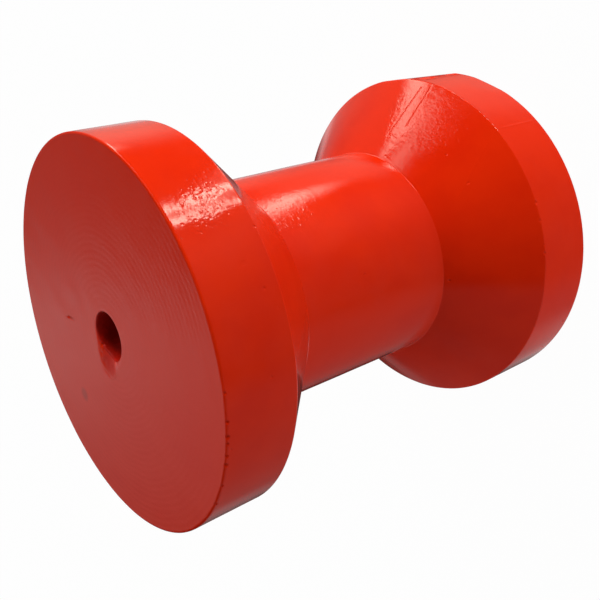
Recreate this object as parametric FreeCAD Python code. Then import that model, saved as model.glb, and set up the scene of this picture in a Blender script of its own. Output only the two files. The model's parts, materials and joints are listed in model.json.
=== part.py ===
import FreeCAD, Part
import math
import os

# Boat trailer roller: one solid polyurethane casting with two wide flanges, a slimmer barrel
# between them and one plain shaft hole. All sizes are in millimetres.
#
# The roller stands on one end face. The origin is the centre of that face, and +Z runs along
# the shaft hole. Directions around the axis are angles from +X towards +Y, in degrees.

# Body
FLANGE_DIAMETER = 101.6
LENGTH = 127.0
RIM_WIDTH = 18.8
CONE_LENGTH = 19.8
BARREL_DIAMETER = 62.4

# Shaft hole
HOLE_DIAMETER = 12.7

# Roundings of the turned and moulded corners
FACE_EDGE_RADIUS = 0.5
RIM_EDGE_RADIUS = 0.5
BARREL_ROOT_RADIUS = 1.0

# Flat where the casting's sprue was trimmed off the rim of the lower flange: its depth at the
# lower face, and its lean in degrees, which makes it shallower towards the cone
FLAT_DEPTH = 0.9
FLAT_LEAN = 2.1
FLAT_ANGLE = -95.0

# Tear at the mouth of the shaft hole, in the upper end face
TEAR_DEPTH = 1.0
TEAR_LENGTH = 5.6
TEAR_RADIUS = 8.0
TEAR_ANGLE = 58.0

# How far a cutting tool runs past the surface that it leaves
OVERCUT = 2.0

flange_radius = FLANGE_DIAMETER / 2
barrel_radius = BARREL_DIAMETER / 2
hole_radius = HOLE_DIAMETER / 2
lower_barrel_end = RIM_WIDTH + CONE_LENGTH
upper_barrel_end = LENGTH - lower_barrel_end


def direction(angle):
    """Unit vector square to the axis, at an angle in degrees."""
    turn = math.radians(angle)
    return FreeCAD.Vector(math.cos(turn), math.sin(turn), 0)


def rounded_outline(corners):
    """Closed wire through corners (radius from the axis, height, rounding), with tangent arcs."""
    points = [FreeCAD.Vector(radius, 0, height) for radius, height, rounding in corners]
    edges = []
    last_end = points[0]
    for index, (radius, height, rounding) in enumerate(corners):
        corner = points[index]
        if rounding == 0:
            arc_start = corner
            arc_end = corner
        else:
            back = (points[index - 1] - corner).normalize()
            ahead = (points[index + 1] - corner).normalize()
            half_angle = back.getAngle(ahead) / 2
            bisector = (back + ahead).normalize()
            centre = corner + bisector * (rounding / math.sin(half_angle))
            tangent_length = rounding / math.tan(half_angle)
            arc_start = corner + back * tangent_length
            arc_end = corner + ahead * tangent_length
            arc_middle = centre - bisector * rounding
        if index > 0:
            edges.append(Part.LineSegment(last_end, arc_start).toShape())
        if rounding > 0:
            edges.append(Part.Arc(arc_start, arc_middle, arc_end).toShape())
        last_end = arc_end
    edges.append(Part.LineSegment(last_end, points[0]).toShape())
    return Part.Wire(edges)


def spool():
    """The outer shape, turned about the axis and solid through the middle."""
    section = Part.Face(rounded_outline([
        (0, 0, 0),
        (flange_radius, 0, FACE_EDGE_RADIUS),
        (flange_radius, RIM_WIDTH, RIM_EDGE_RADIUS),
        (barrel_radius, lower_barrel_end, BARREL_ROOT_RADIUS),
        (barrel_radius, upper_barrel_end, BARREL_ROOT_RADIUS),
        (flange_radius, LENGTH - RIM_WIDTH, RIM_EDGE_RADIUS),
        (flange_radius, LENGTH, FACE_EDGE_RADIUS),
        (0, LENGTH, 0),
    ]))
    return section.revolve(FreeCAD.Vector(0, 0, 0), FreeCAD.Vector(0, 0, 1), 360)


def sprue_flat():
    """Block that trims the lower rim to a leaning flat, which runs out on the cone above it."""
    foot = FreeCAD.Vector(flange_radius - FLAT_DEPTH, 0, 0)
    block = Part.makeBox(FLAT_DEPTH + OVERCUT, FLANGE_DIAMETER, lower_barrel_end + OVERCUT)
    block.translate(foot - FreeCAD.Vector(0, flange_radius, OVERCUT))
    block.rotate(foot, FreeCAD.Vector(0, 1, 0), FLAT_LEAN)
    block.rotate(FreeCAD.Vector(0, 0, 0), FreeCAD.Vector(0, 0, 1), FLAT_ANGLE)
    return block


def shaft_hole():
    """Tool for the plain hole right through the roller."""
    return Part.makeCylinder(hole_radius, LENGTH + 2 * OVERCUT, FreeCAD.Vector(0, 0, -OVERCUT))


def mouth_tear():
    """Round gouge that slopes from the upper face down into the shaft hole."""
    slope = math.atan2(TEAR_DEPTH, TEAR_LENGTH)
    outward = direction(TEAR_ANGLE)
    along = outward * math.cos(slope) + FreeCAD.Vector(0, 0, math.sin(slope))
    across = FreeCAD.Vector(0, 0, math.cos(slope)) - outward * math.sin(slope)
    # The gouge's lowest line starts on the hole's axis and meets the hole's wall at the depth.
    start = FreeCAD.Vector(0, 0, LENGTH - TEAR_DEPTH - hole_radius * math.tan(slope))
    reach = (hole_radius + TEAR_LENGTH + TEAR_RADIUS) / math.cos(slope)
    return Part.makeCylinder(TEAR_RADIUS, reach, start + across * TEAR_RADIUS, along)


def roller():
    """The whole casting."""
    return spool().cut([sprue_flat(), shaft_hole(), mouth_tear()])


os.makedirs("parts", exist_ok=True)
casting = roller()
box = casting.optimalBoundingBox()
print(f"solids {len(casting.Solids)}, valid {casting.isValid()}, volume {casting.Volume:.0f} mm3")
print(f"x {box.XMin:.2f} {box.XMax:.2f}, y {box.YMin:.2f} {box.YMax:.2f}, z {box.ZMin:.2f} {box.ZMax:.2f}")
casting.exportStep("parts/roller.step")
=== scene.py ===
import json
import math
import random

import bmesh
import bpy
from mathutils import Matrix, Vector, noise


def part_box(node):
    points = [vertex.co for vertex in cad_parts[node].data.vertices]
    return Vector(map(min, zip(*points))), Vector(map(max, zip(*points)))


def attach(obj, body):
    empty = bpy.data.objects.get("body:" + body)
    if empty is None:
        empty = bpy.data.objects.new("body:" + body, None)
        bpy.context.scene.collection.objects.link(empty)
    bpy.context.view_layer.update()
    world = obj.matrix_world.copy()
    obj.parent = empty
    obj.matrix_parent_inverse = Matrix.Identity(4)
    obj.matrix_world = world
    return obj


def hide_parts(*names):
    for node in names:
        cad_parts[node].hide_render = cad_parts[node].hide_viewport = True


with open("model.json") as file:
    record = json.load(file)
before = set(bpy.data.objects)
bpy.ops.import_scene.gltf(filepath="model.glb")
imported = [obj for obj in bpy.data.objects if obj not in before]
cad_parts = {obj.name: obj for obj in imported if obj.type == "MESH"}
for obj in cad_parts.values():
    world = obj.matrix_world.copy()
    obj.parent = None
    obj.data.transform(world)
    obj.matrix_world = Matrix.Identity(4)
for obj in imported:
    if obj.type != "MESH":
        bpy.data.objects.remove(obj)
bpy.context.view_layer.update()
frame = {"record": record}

# Boat trailer roller: one glossy red polyurethane casting, standing on one end face.
# Lengths of the roller are in millimetres here, and become metres where a mesh or a node takes them.
# Directions around the axis are angles from +X towards +Y, in degrees.

MM = 0.001

# Shape of the casting, beside what the frame gives
RIM_WIDTH = 18.8
CONE_LENGTH = 19.8
BARREL_RADIUS = 31.2
FACE_EDGE_RADIUS = 0.5
RIM_EDGE_RADIUS = 0.5
BARREL_ROOT_RADIUS = 0.4
MOUTH_EDGE_RADIUS = 0.35

# Flat where the sprue was trimmed off the lower rim, deepest at the lower face and leaning outwards
# above it, and the shallow cut beside it, which runs out at its height
FLAT_DEPTH = 0.9
FLAT_LEAN = 2.1
FLAT_ANGLE = -95.0
SHAVING_DEPTH = 0.4
SHAVING_ANGLE = -121.0
SHAVING_HEIGHT = 9.0
CUT_EDGE_SOFT = 0.12

# Tear at the mouth of the shaft hole: a gouge that slopes from the upper face down into the hole
TEAR_ANGLE = 58.0
TEAR_DEPTH = 1.0
TEAR_LENGTH = 4.2
TEAR_RADIUS = 8.0
TEAR_SOFT = 0.90

# How far below the upper face the tear bends the hole's wall
TEAR_REACH = 6.0

# Height of the tear's ragged waves, and each wave's steps per millimetre, layer of the noise and share
TEAR_RAGGED = 0.18
TEAR_WAVES = ((0.75, 3.1, 1.0), (2.1, 7.7, 0.5))

# Long shallow ripple left by the mould, with a finer wave in it
RIPPLE_DEPTH = 0.05
RIPPLE_LENGTH = 17.0
RIPPLE_FINER = 2.3
RIPPLE_FINER_SHARE = 0.4
RIPPLE_GAIN = 1.4

# Thin lines of the mould: ends in plan, lowest and highest place, half width, height above the surface
LINES = (
    ((-40.4, -29.8), (-33.9, -11.5), 18.9, 34.6, 0.26, 0.035),
    ((-39.9, -29.7), (-41.3, -30.8), 2.5, 18.3, 0.24, 0.045),
    ((-17.0, -46.2), (-12.4, -34.1), 19.3, 34.0, 0.17, -0.09),
    ((-20.2, -46.1), (-17.3, -36.1), 19.3, 34.0, 0.17, -0.09),
    ((-14.5, -28.8), (-20.5, -24.3), 37.4, 38.6, 0.16, -0.04),
    ((-48.2, -16.0), (-48.4, -15.4), 114.4, 116.5, 0.25, -0.06),
    ((-13.9, -48.9), (-14.5, -48.7), 11.5, 17.5, 0.80, -0.35),
    ((-13.9, -48.9), (-14.5, -48.7), 1.0, 6.5, 0.80, -0.35),
)

# How a line starts at its lowest place and runs out below its highest, and how many half widths
# from its middle it ends
LINE_START_FADE = 0.5
LINE_END_FADE = 2.0
LINE_SPREAD = 4.0

# Pits and nicks: centre, radius, depth
PITS = (
    (22.9, -3.9, 127.0, 0.55, 0.35),
    (-31.2, -1.2, 68.1, 0.50, 0.22),
    (-31.1, 8.6, 37.5, 0.50, 0.25),
    (-49.9, -9.7, 112.1, 0.55, 0.16),
    (-45.6, -22.2, 108.4, 0.50, 0.20),
    (-50.1, -8.9, 18.7, 0.60, 0.30),
    (-50.5, -3.8, 18.8, 0.50, 0.25),
    (-50.6, 5.4, 18.8, 0.65, 0.30),
    (-50.8, 3.0, 18.8, 0.45, 0.22),
    (5.9, 2.6, 127.0, 0.70, 0.40),
    (-36.6, -17.4, 29.2, 0.50, 0.12),
    (-30.5, -26.0, 29.6, 0.50, 0.12),
)

# Row of pits along the edge of the upper face: their angles, how far inside the rim and below the
# face their centres lie, their radii in turn, and their depth
EDGE_PIT_ANGLES = (170.6, 163.1, 159.0, 157.0, 153.3, 150.4, 143.1, 135.1)
EDGE_PIT_INSET = 0.12
EDGE_PIT_DROP = 0.35
EDGE_PIT_RADII = (0.42, 0.56, 0.70)
EDGE_PIT_DEPTH = 0.45

# Scatter of finer pits: number, heights on the lower rim, the barrel and the upper rim, and sizes
SCATTER_COUNT = 30
SCATTER_HEIGHTS = ((1, 18), (42, 85), (109, 126))
SCATTER_RADII = (0.25, 0.42)
SCATTER_DEPTHS = (0.06, 0.14)
SCATTER_SEED = 7

# Dimpled patch of the upper rim: middle, spread across and along, slant, gap to the rim's edges and
# number, and the dimples' sizes
DIMPLE_ANGLE = -144.5
DIMPLE_HEIGHT = 117.3
DIMPLE_SPREAD = (3.2, 3.6)
DIMPLE_SLANT = -0.8
DIMPLE_EDGE_GAP = 1.0
DIMPLE_COUNT = 120
DIMPLE_RADII = (0.28, 0.50)
DIMPLE_DEPTHS = (0.012, 0.036)
DIMPLE_SEED = 3

# Mesh: degrees between columns, millimetres between rows in each zone of the surface, rows of a
# rounded corner, and the gap from a corner to the row that supports it
COLUMN_STEP = 1.5
ROW_STEPS = {"moulded": 1.45, "cut_face": 4.0, "bore": 8.0}
ARC_ROWS = 4
SUPPORT_ROW = 0.25

# Zones of the surface, in the order of the mesh's finishes
ZONES = tuple(ROW_STEPS)

# Finer rows around the torn mouth, and how far they go over the face and down the hole
MOUTH_ROW_STEP = 0.33
MOUTH_FACE_REACH = 7.0
MOUTH_BORE_REACH = 3.5

# How near to a line or pit the faces are split, once for each distance, how far past a line's ends,
# how far around the middle of the dimpled patch, and a height from which no pit is near
SPLIT_REACHES = (1.2, 0.6, 0.3)
SPLIT_PAST_LINE = 0.8
SPLIT_DIMPLES = 9.5
PIT_FAR = 3.0

# A vertex this far inside the end faces may belong to the hole, and one whose normal is more
# upright than this belongs to an end face
END_GAP = 0.01
UPRIGHT_NORMAL = 0.98

low_corner, high_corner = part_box("roller")
flange_radius = (high_corner.x - low_corner.x) / 2 / MM
length = (high_corner.z - low_corner.z) / MM
hole_radius = next(m for m in frame["record"]["mounts"] if m["name"] == "shaft_hole")["dims"]["r_mm"]
lower_barrel_end = RIM_WIDTH + CONE_LENGTH
upper_barrel_end = length - lower_barrel_end
roller_middle = Vector((0, 0, length / 2 * MM))


def direction(angle):
    """Unit vector square to the axis, at an angle in degrees."""
    turn = math.radians(angle)
    return Vector((math.cos(turn), math.sin(turn), 0))


def side_place(angle, radius, height):
    """The place at an angle around the axis, a distance from it and a height."""
    return direction(angle) * radius + Vector((0, 0, height))


def smooth_step(value, low, high):
    """0 below low, 1 above high and a smooth rise between them."""
    share = min(1.0, max(0.0, (value - low) / (high - low)))
    return share * share * (3 - 2 * share)


def softened(value, soft):
    """0 for values below -soft, the value itself above soft, and a smooth turn between them."""
    if value <= -soft:
        return 0.0
    if value >= soft:
        return value
    return (value + soft) ** 2 / (4 * soft)


def add_object(name, data):
    """A new object with a mesh, lamp or camera, linked into the scene."""
    thing = bpy.data.objects.new(name, data)
    bpy.context.scene.collection.objects.link(thing)
    return thing


# The turned outline

def rounded_corner(before, corner, after, rounding):
    """Points of the arc that rounds a corner of the outline."""
    back = (before - corner).normalized()
    ahead = (after - corner).normalized()
    half_angle = back.angle(ahead) / 2
    centre = corner + (back + ahead).normalized() * (rounding / math.sin(half_angle))
    start = corner + back * (rounding / math.tan(half_angle)) - centre
    end = corner + ahead * (rounding / math.tan(half_angle)) - centre
    sweep = start.angle_signed(end)
    return [centre + Matrix.Rotation(-sweep * k / ARC_ROWS, 2) @ start for k in range(ARC_ROWS + 1)]


def fine_places(reach):
    """Evenly spaced distances from the hole's mouth."""
    count = round(reach / MOUTH_ROW_STEP)
    return [reach * (k + 1) / count for k in range(count)]


def straight_run(start, end, row_step):
    """Points between the ends of a straight run, with a support row near each end and fine rows
    where the run starts or ends at the torn mouth."""
    run = (end - start).length
    along = (end - start) / run
    inner = max(1, round((run - 2 * SUPPORT_ROW) / row_step))
    places = [SUPPORT_ROW + (run - 2 * SUPPORT_ROW) * k / inner for k in range(inner + 1)]
    mouth = Vector((hole_radius, length))
    if (start - mouth).length < 2 * MOUTH_EDGE_RADIUS:
        places = [place for place in places if place > MOUTH_BORE_REACH]
        places = fine_places(MOUTH_BORE_REACH) + places
    if (end - mouth).length < 2 * MOUTH_EDGE_RADIUS:
        places = [place for place in places if place < run - MOUTH_FACE_REACH]
        places += [run - place for place in reversed(fine_places(MOUTH_FACE_REACH))]
    return [start + along * place for place in places]


def outline():
    """Rows of the casting's surface: (radius, height) points and the zone that follows each, from
    the hole's lower edge out over the casting and back down the hole."""
    corners = [
        (hole_radius, 0, MOUTH_EDGE_RADIUS, "cut_face"),
        (flange_radius, 0, FACE_EDGE_RADIUS, "moulded"),
        (flange_radius, RIM_WIDTH, RIM_EDGE_RADIUS, "moulded"),
        (BARREL_RADIUS, lower_barrel_end, BARREL_ROOT_RADIUS, "moulded"),
        (BARREL_RADIUS, upper_barrel_end, BARREL_ROOT_RADIUS, "moulded"),
        (flange_radius, length - RIM_WIDTH, RIM_EDGE_RADIUS, "moulded"),
        (flange_radius, length, FACE_EDGE_RADIUS, "cut_face"),
        (hole_radius, length, MOUTH_EDGE_RADIUS, "bore"),
    ]
    points = [Vector((radius, height)) for radius, height, _, _ in corners]
    arcs = []
    for index, (_, _, rounding, _) in enumerate(corners):
        after = points[(index + 1) % len(points)]
        arcs.append(rounded_corner(points[index - 1], points[index], after, rounding))
    rows = []
    for index, (radius, _, _, zone) in enumerate(corners):
        arc = arcs[index]
        next_arc = arcs[(index + 1) % len(arcs)]
        arc_zone = "bore" if radius == hole_radius else "moulded"
        rows += [(point, arc_zone) for point in arc[:-1]]
        rows.append((arc[-1], zone))
        rows += [(point, zone) for point in straight_run(arc[-1], next_arc[0], ROW_STEPS[zone])]
    return rows


def turned_mesh():
    """The plain casting as a bmesh of quads, with each vertex's true radius in a layer."""
    rows = outline()
    columns = round(360 / COLUMN_STEP)
    shape = bmesh.new()
    radius_layer = shape.verts.layers.float.new("true_radius")
    rings = []
    for point, _ in rows:
        ring = []
        for column in range(columns):
            around = direction(column * COLUMN_STEP)
            vertex = shape.verts.new((around.x * point.x, around.y * point.x, point.y))
            vertex[radius_layer] = point.x
            ring.append(vertex)
        rings.append(ring)
    for row, (_, zone) in enumerate(rows):
        ring = rings[row]
        next_ring = rings[(row + 1) % len(rings)]
        for column in range(columns):
            beside = (column + 1) % columns
            face = shape.faces.new((ring[column], ring[beside], next_ring[beside], next_ring[column]))
            face.material_index = ZONES.index(zone)
    return shape


# The marks on the casting

def plan_distance(place, start, end):
    """How far a place is from a straight line between two points, seen along the axis."""
    run = end - start
    share = min(1.0, max(0.0, (place - start).dot(run) / run.length_squared))
    return (place - start - run * share).length


def line_height(place):
    """Height of the mould's thin lines at a place."""
    height = 0.0
    for start, end, low, high, half_width, rise in LINES:
        if low - LINE_START_FADE < place.z < high:
            away = plan_distance(place.xy, Vector(start), Vector(end)) / half_width
            if away < LINE_SPREAD:
                start_fade = smooth_step(place.z, low - LINE_START_FADE, low + LINE_START_FADE)
                end_fade = 1 - smooth_step(place.z, high - LINE_END_FADE, high)
                height += rise * start_fade * end_fade * math.exp(-away ** 2)
    return height


def all_pits():
    """Centre, radius and depth of every pit: the known ones, a seeded scatter and the dimples."""
    pits = [(Vector((x, y, z)), radius, depth) for x, y, z, radius, depth in PITS]
    for number, angle in enumerate(EDGE_PIT_ANGLES):
        centre = side_place(angle, flange_radius - EDGE_PIT_INSET, length - EDGE_PIT_DROP)
        pits.append((centre, EDGE_PIT_RADII[number % len(EDGE_PIT_RADII)], EDGE_PIT_DEPTH))
    chance = random.Random(SCATTER_SEED)
    for _ in range(SCATTER_COUNT):
        angle = chance.uniform(0, 360)
        height = chance.choice([chance.uniform(low, high) for low, high in SCATTER_HEIGHTS])
        on_barrel = lower_barrel_end < height < upper_barrel_end
        centre = side_place(angle, BARREL_RADIUS if on_barrel else flange_radius, height)
        pits.append((centre, chance.uniform(*SCATTER_RADII), chance.uniform(*SCATTER_DEPTHS)))
    return pits + dimples()


def dimples():
    """Shallow round dimples, crowded at the middle of their patch on the upper rim."""
    chance = random.Random(DIMPLE_SEED)
    found = []
    for _ in range(DIMPLE_COUNT):
        rise = chance.gauss(0, DIMPLE_SPREAD[1])
        height = DIMPLE_HEIGHT + rise
        aside = chance.gauss(0, DIMPLE_SPREAD[0]) + DIMPLE_SLANT * rise
        radius = chance.uniform(*DIMPLE_RADII)
        depth = chance.uniform(*DIMPLE_DEPTHS)
        if length - RIM_WIDTH + DIMPLE_EDGE_GAP < height < length - DIMPLE_EDGE_GAP:
            angle = DIMPLE_ANGLE + math.degrees(aside / flange_radius)
            found.append((side_place(angle, flange_radius, height), radius, depth))
    return found


def pit_depth(place, pits):
    """Depth of the round pits at a place."""
    depth = 0.0
    for centre, radius, deepest in pits:
        away_squared = (place - centre).length_squared / radius ** 2
        if away_squared < 1:
            depth += deepest * (1 - away_squared) ** 2
    return depth


def tear_depth(place):
    """Depth below the upper face of the torn gouge that runs out from the hole's mouth."""
    outward = direction(TEAR_ANGLE)
    along = place.dot(outward) - hole_radius
    aside = place.dot(outward.cross(Vector((0, 0, 1))))
    rough = 0.0
    for steps, layer, share in TEAR_WAVES:
        rough += share * noise.noise(Vector((place.x * steps, place.y * steps, layer)))
    depth = TEAR_DEPTH * (1 - along / TEAR_LENGTH) - aside * aside / (2 * TEAR_RADIUS)
    depth = softened(depth + TEAR_RAGGED * rough, TEAR_SOFT)
    return depth * smooth_step(along, -hole_radius, -hole_radius / 2)


def ripple(place):
    """Depth of the mould's long ripple, from 0 to its full depth."""
    wave = noise.noise(place / RIPPLE_LENGTH)
    wave += RIPPLE_FINER_SHARE * noise.noise(place * RIPPLE_FINER / RIPPLE_LENGTH)
    return RIPPLE_DEPTH * (0.5 + 0.5 * max(-1.0, min(1.0, wave * RIPPLE_GAIN)))


def trimmed(place, toward, reach):
    """A place pressed back behind a flat cut that faces a direction, a distance from the axis."""
    return place - toward * softened(place.dot(toward) - reach, CUT_EDGE_SOFT)


def near_line(place, reach):
    """Whether a place is within reach of one of the mould's lines."""
    for start, end, low, high, half_width, _ in LINES:
        if low - SPLIT_PAST_LINE < place.z < high + SPLIT_PAST_LINE:
            if plan_distance(place.xy, Vector(start), Vector(end)) < 2 * half_width + reach:
                return True
    return False


def near_pit(place, pits, reach):
    """Whether a place is within reach of a pit's rim."""
    return any(abs(place.z - centre.z) < PIT_FAR and (place - centre).length < radius + reach
               for centre, radius, _ in pits)


def near_mark(place, pits, reach):
    """Whether a place is in the dimpled patch, or within reach of a line or pit."""
    patch = side_place(DIMPLE_ANGLE, flange_radius, DIMPLE_HEIGHT)
    if (place - patch).length < SPLIT_DIMPLES and place.z < length - FACE_EDGE_RADIUS:
        return True
    return near_line(place, reach) or near_pit(place, pits, reach)


def refine_near_marks(shape, pits):
    """Splits the faces around the lines, pits and dimples, more finely the nearer they are."""
    for reach in SPLIT_REACHES:
        marked = [face for face in shape.faces if near_mark(face.calc_center_median(), pits, reach)]
        edges = dict.fromkeys(edge for face in marked for edge in face.edges)
        bmesh.ops.subdivide_edges(shape, edges=list(edges), cuts=1, use_grid_fill=True)


def true_round(shape):
    """Puts every vertex at its true radius, also those that splitting made on a straight edge."""
    radius_layer = shape.verts.layers.float["true_radius"]
    for vertex in shape.verts:
        spread = vertex.co.xy.length
        vertex.co.xy = vertex.co.xy * (vertex[radius_layer] / spread)


def mark_surface(shape, pits):
    """Moves the vertices to the ripple, lines, pits, flat cuts and torn mouth of the casting."""
    shape.normal_update()
    normals = [vertex.normal.copy() for vertex in shape.verts]
    flat = direction(FLAT_ANGLE)
    flat_slope = math.tan(math.radians(FLAT_LEAN))
    shaving = direction(SHAVING_ANGLE)
    for vertex, normal in zip(shape.verts, normals):
        place = vertex.co.copy()
        radius = place.xy.length
        in_hole = radius < hole_radius + MOUTH_EDGE_RADIUS and END_GAP < place.z < length - END_GAP
        move = -pit_depth(place, pits)
        if not in_hole and abs(normal.z) < UPRIGHT_NORMAL:
            move += line_height(place) - ripple(place)
        place += normal * move
        if place.z < lower_barrel_end:
            place = trimmed(place, flat, flange_radius - FLAT_DEPTH + place.z * flat_slope)
        if place.z < SHAVING_HEIGHT:
            depth = SHAVING_DEPTH * (1 - place.z / SHAVING_HEIGHT)
            place = trimmed(place, shaving, flange_radius - depth)
        if place.z > length - TEAR_REACH and radius < hole_radius + TEAR_LENGTH + TEAR_RADIUS:
            share = smooth_step(place.z, length - TEAR_REACH, length) if in_hole else 1
            place.z -= tear_depth(place) * share
        vertex.co = place


def build_roller():
    """The whole casting as one closed mesh, with a finish for each zone."""
    pits = all_pits()
    shape = turned_mesh()
    refine_near_marks(shape, pits)
    true_round(shape)
    bmesh.ops.recalc_face_normals(shape, faces=shape.faces)
    mark_surface(shape, pits)
    for face in shape.faces:
        face.smooth = True
    for vertex in shape.verts:
        vertex.co *= MM
    mesh = bpy.data.meshes.new("roller_casting")
    shape.to_mesh(mesh)
    shape.free()
    for zone in ZONES:
        mesh.materials.append(FINISHES[zone]())
    return add_object("roller_casting", mesh)


# Nodes, for the materials and the world

def feed(tree, socket, value):
    """Links a node's output to a socket, or sets a plain value on it."""
    if isinstance(value, bpy.types.NodeSocket):
        tree.links.new(value, socket)
    else:
        socket.default_value = value


def math_node(tree, operation, *values):
    """A Math node whose inputs are numbers or other nodes' outputs."""
    node = tree.nodes.new("ShaderNodeMath")
    node.operation = operation
    for socket, value in zip(node.inputs, values):
        feed(tree, socket, value)
    return node.outputs[0]


def vector_node(tree, operation, vector, fixed):
    """The number that a vector operation gives for a node's output and a fixed vector."""
    node = tree.nodes.new("ShaderNodeVectorMath")
    node.operation = operation
    tree.links.new(vector, node.inputs[0])
    node.inputs[1].default_value = fixed
    return node.outputs["Value"]


def step_node(tree, value, low, high, at_low=0.0, at_high=1.0):
    """A smooth rise or fall of a value between two limits."""
    node = tree.nodes.new("ShaderNodeMapRange")
    node.interpolation_type = "SMOOTHSTEP"
    tree.links.new(value, node.inputs["Value"])
    node.inputs["From Min"].default_value = low
    node.inputs["From Max"].default_value = high
    node.inputs["To Min"].default_value = at_low
    node.inputs["To Max"].default_value = at_high
    return node.outputs["Result"]


def mix_node(tree, kind, share, first, second):
    """A colour or number that turns from the first to the second, each plain or a node's output."""
    node = tree.nodes.new("ShaderNodeMix")
    node.data_type = kind
    tree.links.new(share, node.inputs["Factor"])
    feed(tree, node.inputs["A"], first)
    feed(tree, node.inputs["B"], second)
    return node.outputs["Result"]


def object_place(tree):
    """The place on the object, in metres."""
    return tree.nodes.new("ShaderNodeTexCoord").outputs["Object"]


def noise_node(tree, place, size, detail):
    """Noise whose features have a size in millimetres."""
    node = tree.nodes.new("ShaderNodeTexNoise")
    tree.links.new(place, node.inputs["Vector"])
    node.inputs["Scale"].default_value = 1 / (size * MM)
    node.inputs["Detail"].default_value = detail
    return node.outputs["Fac"]


def noise_level(tree, place, size, detail, low, high, at_low, at_high):
    """Noise turned into a level that goes from one value to another between the noise's limits."""
    return step_node(tree, noise_node(tree, place, size, detail), low, high, at_low, at_high)


def near_node(tree, place, centre, reach):
    """1 around a place of the object, falling smoothly to 0 at a distance."""
    away = vector_node(tree, "DISTANCE", place, Vector(centre) * MM)
    return step_node(tree, away, reach * NEAR_CORE * MM, reach * MM, 1, 0)


def nearest_share(tree, place, places, share=0.0):
    """1 near any of some places, given as centre and reach, and a lowest share away from them."""
    for centre, reach in places:
        share = math_node(tree, "MAXIMUM", share, near_node(tree, place, centre, reach))
    return share


def bump_node(tree, height, depth, below=None):
    """A bump over another, whose height of 0 to 1 stands for a depth in millimetres."""
    node = tree.nodes.new("ShaderNodeBump")
    node.inputs["Distance"].default_value = depth * MM
    tree.links.new(height, node.inputs["Height"])
    if below:
        tree.links.new(below, node.inputs["Normal"])
    return node.outputs["Normal"]


def noise_bump(tree, place, size, detail, depth, share=None, below=None):
    """A bump of noise, over another, and only as deep as a share says where one is given."""
    height = noise_node(tree, place, size, detail)
    if share:
        height = math_node(tree, "MULTIPLY", height, share)
    return bump_node(tree, height, depth, below)


# Materials

# Colours of the casting, linear
RED = (0.87, 0.026, 0.0016, 1)
DEEP_RED = (0.82, 0.021, 0.0014, 1)
CUT_RED = (0.84, 0.027, 0.003, 1)
SMUDGE_RED = (0.40, 0.020, 0.008, 1)
TORN_RED = (0.60, 0.030, 0.020, 1)
# Paler red painted beside the hole's mouth: a painted highlight
PAINTED_HIGHLIGHT_RED = (0.90, 0.09, 0.07, 1)
# The hole's wall is painted darker than the outside, in two tones mixed at random: painted shade
SHADED_BORE_RED = (0.62, 0.012, 0.004, 1)
SHADED_BORE_DARKER_RED = (0.42, 0.008, 0.003, 1)

PLASTIC_IOR = 1.5

# Noises that set a share or a roughness: size in millimetres, detail, the noise's two limits and
# the levels at them
MOULDED_TONE = (16.0, 4.0, 0.35, 0.70, 0.0, 1.0)
MOULDED_ROUGHNESS = (6.0, 3.0, 0.30, 0.70, 0.06, 0.11)
WRINKLED_ELSEWHERE = (26.0, 1.0, 0.60, 0.74, 0.06, 0.75)
CUT_STAIN = (22.0, 5.0, 0.40, 0.75, 0.0, 0.5)
CUT_ROUGHNESS = (5.0, 4.0, 0.30, 0.70, 0.16, 0.21)
BORE_TONE = (4.0, 4.0, 0.30, 0.70, 0.0, 1.0)
BORE_ROUGHNESS = (2.0, 3.0, 0.30, 0.70, 0.42, 0.60)

# Bumps of noise: size in millimetres, detail, depth in millimetres
PEEL = (1.6, 1.0, 0.05)
MOTTLE = (1.3, 1.0, 0.04)
WRINKLE = (0.55, 2.0, 0.016)
CUT_SWELL = (9.0, 1.0, 0.12)
CUT_GRAIN = (0.8, 3.0, 0.03)
BORE_GRAIN = (1.2, 3.0, 0.15)

# Places where the mould left the surface wrinkled, and mottled: centre and reach
WRINKLED = (
    ((-41.4, -29.4, 117.0), 9.0),
    ((-18.5, -38.5, 27.0), 15.0),
    ((-28.0, -34.0, 24.0), 13.0),
    ((-21.5, -22.5, 82.0), 15.0),
)
MOTTLED = (
    ((-18.5, -38.5, 27.0), 17.0),
    ((-28.0, -34.0, 24.0), 15.0),
)

# Share of a reach within which a place counts in full
NEAR_CORE = 0.35

# Roughness that a wrinkled place adds, and the peel's share where nothing is wrinkled
WRINKLED_ROUGHNESS = 0.03
PEEL_LEAST = 0.3

# Small craters of the wrinkled places: spacing, depth, the distances between which a crater's wall
# rises, and the limits of a cell's random number above which it has no crater
SPECK_SPACING = 1.0
SPECK_DEPTH = 0.02
SPECK_WALL = (0.08, 0.34)
SPECK_PLAIN = (0.45, 0.50)

# Rings that turning left on the end faces
TURNING_PITCH = 1.7
TURNING_DEPTH = 0.010
TURNING_DISTORTION = 2.5
TURNING_DETAIL_SCALE = 0.6

# Phase that Blender's ring texture turns through at a distance and scale of 1
RING_PHASE = 20

# Spots on the upper face: centre, reach, share, colour and the roughness that a full share adds.
# They are a smudge, the torn mouth, and a painted highlight beside the mouth.
FACE_SPOTS = (
    ((25.0, 18.3, 127.0), 2.6, 0.55, SMUDGE_RED, 0.0),
    ((3.6, 7.2, 126.6), 5.0, 0.9, TORN_RED, 0.4),
    ((0.0, 7.4, 127.0), 1.7, 0.9, PAINTED_HIGHLIGHT_RED, 0.0),
)


def new_material(name):
    """A new material of the plastic, its node tree and its shader."""
    material = bpy.data.materials.new(name)
    material.use_nodes = True
    surface = material.node_tree.nodes["Principled BSDF"]
    surface.inputs["IOR"].default_value = PLASTIC_IOR
    return material, material.node_tree, surface


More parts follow.
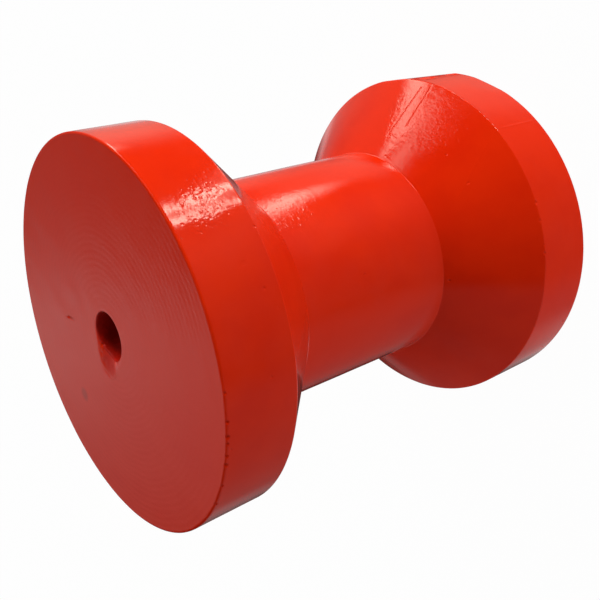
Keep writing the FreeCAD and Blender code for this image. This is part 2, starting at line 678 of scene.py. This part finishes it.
def speck_height(tree, place):
    """Small round craters, 0 at their bottoms and 1 between them, in about half of a net of cells."""
    cells = tree.nodes.new("ShaderNodeTexVoronoi")
    tree.links.new(place, cells.inputs["Vector"])
    cells.inputs["Scale"].default_value = 1 / (SPECK_SPACING * MM)
    bowl = step_node(tree, cells.outputs["Distance"], *SPECK_WALL)
    split = tree.nodes.new("ShaderNodeSeparateColor")
    tree.links.new(cells.outputs["Color"], split.inputs["Color"])
    return math_node(tree, "MAXIMUM", bowl, step_node(tree, split.outputs["Red"], *SPECK_PLAIN))


def turning_rings(tree, place):
    """Uneven rings around the axis, from 0 to 1."""
    rings = tree.nodes.new("ShaderNodeTexWave")
    rings.wave_type = "RINGS"
    rings.rings_direction = "Z"
    tree.links.new(place, rings.inputs["Vector"])
    rings.inputs["Scale"].default_value = math.tau / (RING_PHASE * TURNING_PITCH * MM)
    rings.inputs["Distortion"].default_value = TURNING_DISTORTION
    rings.inputs["Detail Scale"].default_value = TURNING_DETAIL_SCALE
    return rings.outputs["Fac"]


def moulded_finish():
    """Gloss of the mould on the rims, cones and barrel, with wrinkled and mottled patches."""
    material, tree, surface = new_material("red_polyurethane_moulded")
    place = object_place(tree)
    tone = noise_level(tree, place, *MOULDED_TONE)
    tree.links.new(mix_node(tree, "RGBA", tone, RED, DEEP_RED), surface.inputs["Base Color"])
    patches = noise_level(tree, place, *WRINKLED_ELSEWHERE)
    wrinkled = nearest_share(tree, place, WRINKLED, patches)
    added = math_node(tree, "MULTIPLY", wrinkled, WRINKLED_ROUGHNESS)
    roughness = math_node(tree, "ADD", noise_level(tree, place, *MOULDED_ROUGHNESS), added)
    tree.links.new(roughness, surface.inputs["Roughness"])
    peel_share = math_node(tree, "MULTIPLY", wrinkled, 1 - PEEL_LEAST)
    peel_share = math_node(tree, "ADD", peel_share, PEEL_LEAST)
    normal = noise_bump(tree, place, *PEEL, share=peel_share)
    mottled = nearest_share(tree, place, MOTTLED)
    normal = noise_bump(tree, place, *MOTTLE, share=mottled, below=normal)
    normal = noise_bump(tree, place, *WRINKLE, share=wrinkled, below=normal)
    specks = math_node(tree, "MULTIPLY", speck_height(tree, place), wrinkled)
    tree.links.new(bump_node(tree, specks, SPECK_DEPTH, normal), surface.inputs["Normal"])
    return material


def cut_finish():
    """Satin end faces with faint turning rings, soft stains and the spots of the upper face, one of them
    a painted highlight.
    """
    material, tree, surface = new_material("red_polyurethane_cut")
    place = object_place(tree)
    colour = mix_node(tree, "RGBA", noise_level(tree, place, *CUT_STAIN), CUT_RED, DEEP_RED)
    roughness = noise_level(tree, place, *CUT_ROUGHNESS)
    for centre, reach, most, spot_colour, added in FACE_SPOTS:
        share = math_node(tree, "MULTIPLY", near_node(tree, place, centre, reach), most)
        colour = mix_node(tree, "RGBA", share, colour, spot_colour)
        roughness = math_node(tree, "ADD", roughness, math_node(tree, "MULTIPLY", share, added))
    tree.links.new(colour, surface.inputs["Base Color"])
    tree.links.new(roughness, surface.inputs["Roughness"])
    normal = noise_bump(tree, place, *CUT_GRAIN)
    normal = noise_bump(tree, place, *CUT_SWELL, below=normal)
    normal = bump_node(tree, turning_rings(tree, place), TURNING_DEPTH, normal)
    tree.links.new(normal, surface.inputs["Normal"])
    return material


def bore_finish():
    """Rough wall of the shaft hole, with painted shade: its colour is darker than the outside's."""
    material, tree, surface = new_material("red_polyurethane_bore_painted_shade")
    place = object_place(tree)
    tone = noise_level(tree, place, *BORE_TONE)
    tree.links.new(mix_node(tree, "RGBA", tone, SHADED_BORE_RED, SHADED_BORE_DARKER_RED), surface.inputs["Base Color"])
    tree.links.new(noise_level(tree, place, *BORE_ROUGHNESS), surface.inputs["Roughness"])
    tree.links.new(noise_bump(tree, place, *BORE_GRAIN), surface.inputs["Normal"])
    return material


FINISHES = {"moulded": moulded_finish, "cut_face": cut_finish, "bore": bore_finish}


# Surroundings: the lamps light the casting, and the gloss sees a room in the world

# Up and across in the photograph, in which the roller lies on its side
PHOTO_UP = (-0.306, -0.952, 0.0)
ACROSS = (-0.952, 0.306, 0.0)

# White background's share in the gloss, and the plain level of the world's own light
BACKGROUND_IN_GLOSS = 0.012
AMBIENT = 0.03

# Floor: colour, half width in metres, how white it is seen, and the white that it gives the diffuse
# light near the roller, up to a distance in millimetres
FLOOR_COLOUR = (0.8, 0.8, 0.8, 1)
FLOOR_HALF = 6.0
FLOOR_WHITE = 0.98
FLOOR_GLOW = 0.95
FLOOR_GLOW_REACH = 450.0

# Light from above in the gloss is a little warmer than the rest: colours, and the sines of the
# elevations between which it warms
WHITE = (1.0, 1.0, 1.0, 1)
WINDOW_COLOUR = (1.0, 0.96, 0.80, 1)
WARM_RISE = (-0.1, 0.3)

# Light patches: azimuth, elevation, tilt, tangents of the half sizes and of the soft edge, strength.
# The last two stand for the pale backdrop behind the roller and the pale table below the near rim.
PATCHES = (
    (-24.0, 55.0, -15.8, 0.36, 0.029, 0.07, 3.7),
    (-117.7, 14.6, 8.1, 0.18, 0.34, 0.24, 0.45),
    (-162.4, 21.5, 20.8, 0.48, 0.33, 0.12, 0.29),
    (-35.4, -29.5, -0.2, 0.64, 0.042, 0.115, 0.39),
    (-69.8, -0.8, 1.9, 0.16, 0.54, 0.16, 0.12),
    (-57.4, -35.2, -22.4, 0.67, 0.10, 0.11, 0.24),
    (-173.0, -28.6, 0.1, 0.27, 0.15, 0.15, 0.75),
    (121.4, -54.0, -19.7, 1.54, 0.76, 0.31, 0.12),
    (159.9, 26.1, -14.2, 1.27, 0.93, 0.13, 0.04),
    (-92.4, 37.3, 42.1, 0.50, 0.255, 0.21, 0.26),
    (141.7, 47.4, 9.1, 0.45, 0.065, 0.35, 0.24),
    (-127.0, -4.5, 0.0, 0.23, 0.09, 0.08, 0.45),
    (-132.0, -52.0, 48.0, 0.23, 0.08, 0.08, 0.10),
)

# Least depth that a ray is given towards a patch, so that a patch behind the ray stays dark
LEAST_DEPTH = 0.001

# Light cards nearer by, seen in the gloss alone: name, the same seven values, distance in metres
CARDS = (
    ("streak_left", 155.6, 61.5, -30.4, 0.080, 0.030, 0.018, 11.0, 0.795),
    ("streak_right", 172.3, 64.0, -30.4, 0.085, 0.030, 0.018, 11.0, 0.795),
    ("streak_glow", 167.8, 63.3, -14.4, 0.165, 0.050, 0.055, 2.0, 0.795),
    ("barrel_glint", -160.5, 61.0, -52.0, 0.19, 0.026, 0.115, 10.5, 0.221),
    ("cone_band", -88.1, 53.7, 30.0, 0.29, 0.058, 0.048, 4.8, 0.335),
)

# Lamps: name, direction from the roller, power
LAMPS = (
    ("above", (0.0, -1.0, 0.10), 18.0),
    ("above_near", (0.1, -0.8, 0.60), 6.0),
    ("above_left", (-0.6, -0.8, 0.02), 12.0),
    ("near", (0.0, 0.0, 1.0), 4.1),
    ("below", (0.25, 1.0, 0.05), 5.5),
    ("below_left", (-0.75, 0.65, 0.05), 2.0),
    ("back", (1.0, 0.25, 0.25), 7.0),
)
LAMP_DISTANCE = 1.6
LAMP_SIZE = 0.9

# Camera, solved from the photographed outline, in metres and in the photograph's pixels
IMAGE_SIZE = 600
FOCAL_LENGTH_PX = 828.244
IMAGE_CENTRE_PX = (292.515, 263.895)
CAMERA_PLACE = (-0.1910635, -0.0385713, 0.2069139)
CAMERA_RIGHT = (-0.60161281, 0.19352292, -0.77499091)
CAMERA_UP = (0.0, -0.97020868, -0.24227073)
SENSOR_WIDTH = 36.0
CLIP_START = 0.01


def emptied(owner):
    """The node tree of a material or world, turned on and emptied."""
    owner.use_nodes = True
    owner.node_tree.nodes.clear()
    return owner.node_tree


def end_nodes(tree, kind, shader):
    """Ends a node tree with its output node."""
    output = tree.nodes.new(kind)
    tree.links.new(shader, output.inputs["Surface"])


def flat_plate(name, half_width, half_height):
    """A rectangle around the origin, square to Z, as an object."""
    mesh = bpy.data.meshes.new(name)
    corners = [(-1, -1), (1, -1), (1, 1), (-1, 1)]
    mesh.from_pydata([(x * half_width, y * half_height, 0) for x, y in corners], [], [(0, 1, 2, 3)])
    return add_object(name, mesh)


def room_direction(azimuth, elevation):
    """A direction in the room: azimuth 0 is +Z and 90 is across, elevation is up in the photograph."""
    turn = math.radians(azimuth)
    rise = math.radians(elevation)
    level = Vector((0, 0, 1)) * math.cos(turn) + Vector(ACROSS) * math.sin(turn)
    return level * math.cos(rise) + Vector(PHOTO_UP) * math.sin(rise)


def room_axes(azimuth, elevation, tilt):
    """A direction in the room, and the sideways and upwards directions of a tilted rectangle there."""
    centre = room_direction(azimuth, elevation).normalized()
    level = Vector(PHOTO_UP).cross(centre).normalized()
    upright = centre.cross(level)
    turn = math.radians(tilt)
    sideways = level * math.cos(turn) + upright * math.sin(turn)
    upwards = upright * math.cos(turn) - level * math.sin(turn)
    return centre, sideways, upwards


def soft_rectangle(tree, across, along, half_width, half_height, soft, strength):
    """A strength inside a rectangle, falling smoothly to 0 at its edges."""
    level = strength
    for offset, half in ((across, half_width), (along, half_height)):
        away = math_node(tree, "ABSOLUTE", offset)
        inside = step_node(tree, away, half - soft, half + soft, 1, 0)
        level = math_node(tree, "MULTIPLY", inside, level)
    return level


def light_patch(tree, ray, azimuth, elevation, tilt, half_width, half_height, soft, strength):
    """A soft-edged bright rectangle in the far room."""
    centre, sideways, upwards = room_axes(azimuth, elevation, tilt)
    depth = math_node(tree, "MAXIMUM", vector_node(tree, "DOT_PRODUCT", ray, centre), LEAST_DEPTH)
    across = math_node(tree, "DIVIDE", vector_node(tree, "DOT_PRODUCT", ray, sideways), depth)
    along = math_node(tree, "DIVIDE", vector_node(tree, "DOT_PRODUCT", ray, upwards), depth)
    return soft_rectangle(tree, across, along, half_width, half_height, soft, strength)


def light_card(name, azimuth, elevation, tilt, half_width, half_height, soft, strength, distance):
    """A soft-edged bright card near the roller, which only its gloss sees."""
    card = flat_plate(name, (half_width + soft) * distance, (half_height + soft) * distance)
    centre, sideways, upwards = room_axes(azimuth, elevation, tilt)
    turn = Matrix((sideways, upwards, centre)).transposed()
    card.matrix_world = Matrix.Translation(roller_middle + centre * distance) @ turn.to_4x4()
    material = bpy.data.materials.new(name)
    tree = emptied(material)
    split = tree.nodes.new("ShaderNodeSeparateXYZ")
    tree.links.new(object_place(tree), split.inputs[0])
    across = math_node(tree, "DIVIDE", split.outputs["X"], distance)
    along = math_node(tree, "DIVIDE", split.outputs["Y"], distance)
    level = soft_rectangle(tree, across, along, half_width, half_height, soft, strength)
    glow = tree.nodes.new("ShaderNodeEmission")
    glow.inputs["Color"].default_value = WINDOW_COLOUR
    tree.links.new(level, glow.inputs["Strength"])
    clear = tree.nodes.new("ShaderNodeBsdfTransparent")
    both = tree.nodes.new("ShaderNodeAddShader")
    tree.links.new(glow.outputs[0], both.inputs[0])
    tree.links.new(clear.outputs[0], both.inputs[1])
    end_nodes(tree, "ShaderNodeOutputMaterial", both.outputs[0])
    material.cycles.emission_sampling = "NONE"
    card.data.materials.append(material)
    for kind in ("camera", "diffuse", "transmission", "volume_scatter", "shadow"):
        setattr(card, "visible_" + kind, False)


def seen_white(tree, path):
    """Share of white that a ray sees of the background: all to the camera and through glass."""
    plain = math_node(tree, "MAXIMUM", path.outputs["Is Camera Ray"], path.outputs["Is Transmission Ray"])
    gloss = math_node(tree, "MULTIPLY", path.outputs["Is Glossy Ray"], BACKGROUND_IN_GLOSS)
    return math_node(tree, "MAXIMUM", plain, gloss)


def surroundings():
    """The world: white background, a plain level for the lighting and a dim room for the gloss."""
    world = bpy.data.worlds.new("studio")
    bpy.context.scene.world = world
    tree = emptied(world)
    ray = tree.nodes.new("ShaderNodeTexCoord").outputs["Generated"]
    path = tree.nodes.new("ShaderNodeLightPath")
    room = 0.0
    for patch in PATCHES:
        room = math_node(tree, "ADD", room, light_patch(tree, ray, *patch))
    light = mix_node(tree, "FLOAT", path.outputs["Is Glossy Ray"], AMBIENT, room)
    strength = mix_node(tree, "FLOAT", seen_white(tree, path), light, 1.0)
    rise = vector_node(tree, "DOT_PRODUCT", ray, Vector(PHOTO_UP).normalized())
    from_above = step_node(tree, rise, *WARM_RISE)
    warm = math_node(tree, "MULTIPLY", from_above, path.outputs["Is Glossy Ray"])
    background = tree.nodes.new("ShaderNodeBackground")
    tree.links.new(mix_node(tree, "RGBA", warm, WHITE, WINDOW_COLOUR), background.inputs["Color"])
    tree.links.new(strength, background.inputs["Strength"])
    end_nodes(tree, "ShaderNodeOutputWorld", background.outputs[0])
    world.cycles.sampling_method = "NONE"


def mix_shader(tree, share, first, second):
    """One shader turning into another."""
    node = tree.nodes.new("ShaderNodeMixShader")
    tree.links.new(share, node.inputs["Fac"])
    tree.links.new(first, node.inputs[1])
    tree.links.new(second, node.inputs[2])
    return node.outputs[0]


def floor():
    """Pale floor that keeps the shadow, lets the gloss see the room past it, and gives the diffuse
    light a white glow near the roller."""
    plane = flat_plate("floor", FLOOR_HALF, FLOOR_HALF)
    material = bpy.data.materials.new("pale_floor")
    tree = emptied(material)
    path = tree.nodes.new("ShaderNodeLightPath")
    diffuse = tree.nodes.new("ShaderNodeBsdfDiffuse")
    diffuse.inputs["Color"].default_value = FLOOR_COLOUR
    clear = tree.nodes.new("ShaderNodeBsdfTransparent")
    body = mix_shader(tree, path.outputs["Is Glossy Ray"], diffuse.outputs[0], clear.outputs[0])
    seen = math_node(tree, "MULTIPLY", seen_white(tree, path), FLOOR_WHITE)
    near = near_node(tree, object_place(tree), (0, 0, 0), FLOOR_GLOW_REACH)
    glow = math_node(tree, "MULTIPLY", near, FLOOR_GLOW)
    glow = math_node(tree, "MULTIPLY", path.outputs["Is Diffuse Ray"], glow)
    white = tree.nodes.new("ShaderNodeEmission")
    lifted = mix_shader(tree, math_node(tree, "MAXIMUM", seen, glow), body, white.outputs[0])
    end_nodes(tree, "ShaderNodeOutputMaterial", lifted)
    plane.data.materials.append(material)


def area_lamp(name, toward, power):
    """A square lamp out from the roller's middle, turned to it and unseen itself."""
    data = bpy.data.lights.new(name, "AREA")
    data.shape = "SQUARE"
    data.size = LAMP_SIZE
    data.energy = power
    lamp = add_object(name, data)
    lamp.location = roller_middle + Vector(toward).normalized() * LAMP_DISTANCE
    lamp.rotation_mode = "QUATERNION"
    lamp.rotation_quaternion = (roller_middle - lamp.location).to_track_quat("-Z", "Y")
    lamp.visible_camera = False
    lamp.visible_glossy = False


def camera():
    """The photograph's camera, with its shift from the middle of the frame."""
    data = bpy.data.cameras.new("camera")
    data.sensor_width = SENSOR_WIDTH
    data.lens = FOCAL_LENGTH_PX * SENSOR_WIDTH / IMAGE_SIZE
    data.shift_x = 0.5 - IMAGE_CENTRE_PX[0] / IMAGE_SIZE
    data.shift_y = IMAGE_CENTRE_PX[1] / IMAGE_SIZE - 0.5
    data.clip_start = CLIP_START
    eye = add_object("camera", data)
    right = Vector(CAMERA_RIGHT).normalized()
    up = Vector(CAMERA_UP).normalized()
    turn = Matrix((right, up, right.cross(up))).transposed()
    eye.matrix_world = Matrix.Translation(CAMERA_PLACE) @ turn.to_4x4()
    bpy.context.scene.camera = eye


bpy.context.scene.view_settings.view_transform = "Standard"
camera()
surroundings()
floor()
for lamp in LAMPS:
    area_lamp(*lamp)
for card in CARDS:
    light_card(*card)

roller = build_roller()
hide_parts("roller")
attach(roller, "root")
